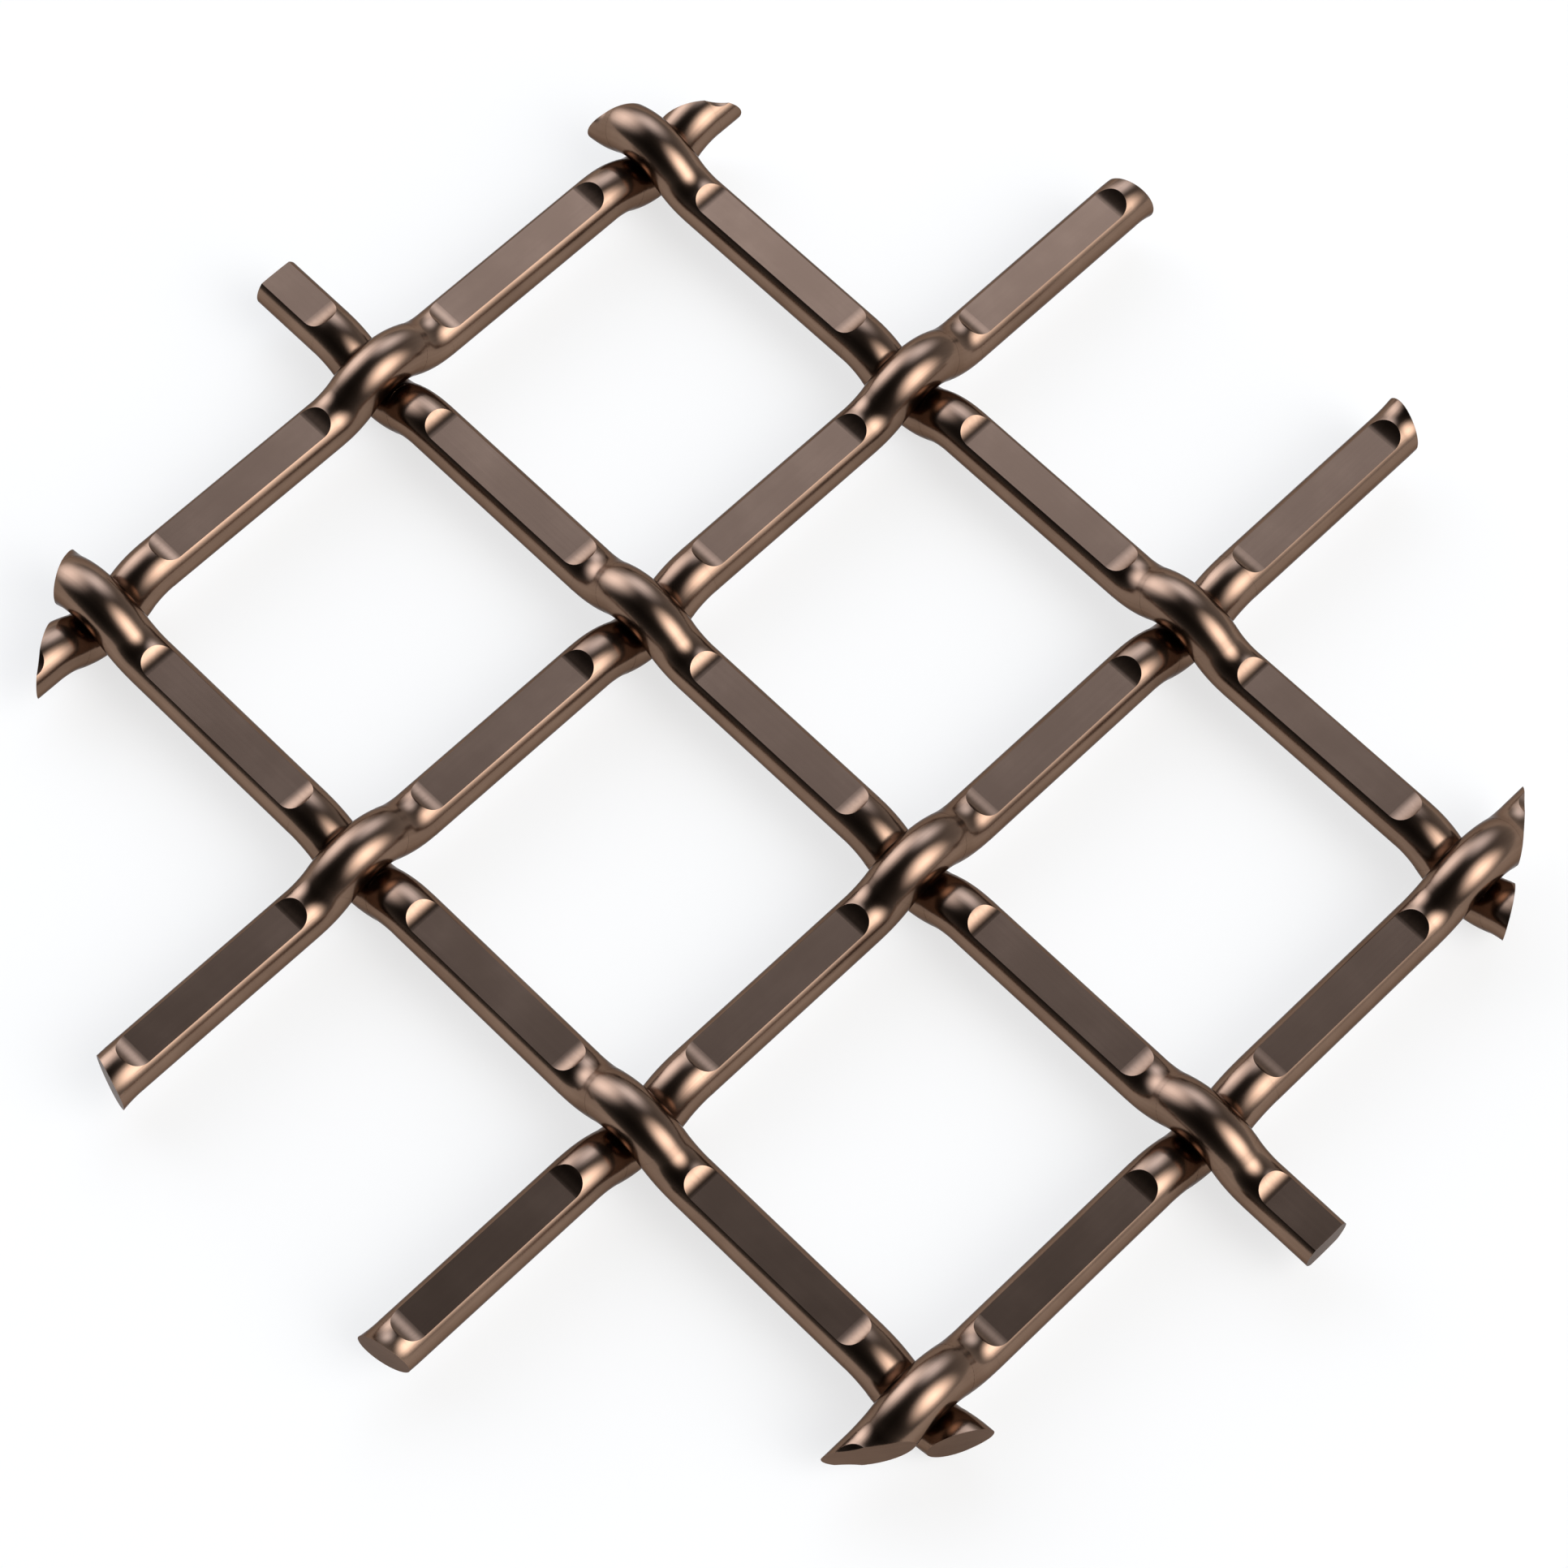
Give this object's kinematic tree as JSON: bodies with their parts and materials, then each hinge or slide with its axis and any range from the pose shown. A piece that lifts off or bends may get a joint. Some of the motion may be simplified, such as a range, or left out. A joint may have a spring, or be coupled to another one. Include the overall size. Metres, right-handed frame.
{
  "type": "decorative grille sheet",
  "caption": "Round cut of a woven wire grille: crimped round wires, coined flat between the crossings, in a plain weave with square openings.",
  "frame": {"origin": "centre of the round outline, in the plane that the lowest crimps rest on", "axes": "+Z out of the sheet, +X along the warp wires, +Y along the weft wires"},
  "size_m": [0.083, 0.0852, 0.0064],
  "materials": {
    "bronze_wire": "satin dark bronze plating on steel wire"
  },
  "bodies": {
    "root": {"warp_wire_1": "bronze_wire", "warp_wire_2": "bronze_wire", "warp_wire_3": "bronze_wire", "warp_wire_4": "bronze_wire", "weft_wire_1": "bronze_wire", "weft_wire_2": "bronze_wire", "weft_wire_3": "bronze_wire"}
  },
  "joints": []
}
